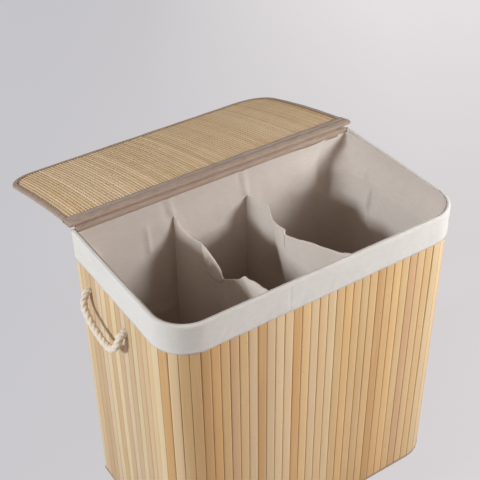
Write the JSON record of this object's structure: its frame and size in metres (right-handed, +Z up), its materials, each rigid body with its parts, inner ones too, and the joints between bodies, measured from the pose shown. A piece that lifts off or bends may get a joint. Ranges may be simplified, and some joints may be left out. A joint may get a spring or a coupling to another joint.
{
  "type": "laundry hamper",
  "caption": "Laundry hamper of upright bamboo slats with a lift-out cloth liner sewn into bins, a hinged slatted lid and rope handles.",
  "frame": {"origin": "on the ground under the middle of the body's walls; the lid, which lies back open, is not counted", "axes": "+Z up, +X to the right and +Y to the back, where the lid is hinged, seen from the front"},
  "size_m": [0.6372, 0.6352, 0.6079],
  "materials": {
    "slats": "satin lacquered bamboo strips, each a slightly different tan",
    "lid_slats": "satin narrow bamboo strips",
    "tape": "woven taupe binding tape",
    "cloth": "cream woven cotton blend",
    "rope": "twisted cream cotton rope",
    "wire": "plain steel wire",
    "board": "fibreboard"
  },
  "bodies": {
    "hamper": {"slats_front": "slats", "slats_corner_left": "slats", "slats_corner_right": "slats", "slats_left": "slats", "slats_right": "slats", "slats_back": "slats", "top_hoop": "wire", "foot_hoop": "wire", "top_tape": "tape", "foot_tape": "tape", "base_board": "board", "hinge_tape": "tape", "left_knot_front": "rope", "left_knot_back": "rope", "right_knot_front": "rope", "right_knot_back": "rope"},
    "liner": {"cuff_left": "cloth", "cuff_right": "cloth", "cuff_corner_left": "cloth", "cuff_front": "cloth", "cuff_corner_right": "cloth", "liner_left": "cloth", "liner_corner_left_1": "cloth", "liner_corner_left_2": "cloth", "liner_corner_left_3": "cloth", "liner_front": "cloth", "liner_corner_right_1": "cloth", "liner_corner_right_2": "cloth", "liner_corner_right_3": "cloth", "liner_right": "cloth", "liner_back": "cloth", "liner_floor": "cloth", "divider_left": "cloth", "divider_right": "cloth"},
    "lid": {"lid_slats": "lid_slats", "lid_edge_tape": "tape", "lid_hinge_tape": "tape"},
    "left_handle": {"left_handle_rope": "rope"},
    "right_handle": {"right_handle_rope": "rope"}
  },
  "joints": [
    {"name": "lid_hinge", "type": "hinge", "parent": "hamper", "child": "lid", "pos_m": [0, 0.1605, 0.607], "axis": [1, 0, 0], "range_deg": [0, 194]},
    {"name": "liner_lift", "type": "slide", "parent": "hamper", "child": "liner", "axis": [0, 0, 1], "range_m": [0, 0.65]},
    {"name": "left_handle_swing", "type": "hinge", "parent": "hamper", "child": "left_handle", "pos_m": [-0.2981, 0.054, 0.498], "axis": [0, 1, 0], "range_deg": [0, 120]},
    {"name": "right_handle_swing", "type": "hinge", "parent": "hamper", "child": "right_handle", "pos_m": [0.2981, 0.054, 0.498], "axis": [0, -1, 0], "range_deg": [0, 120]}
  ]
}
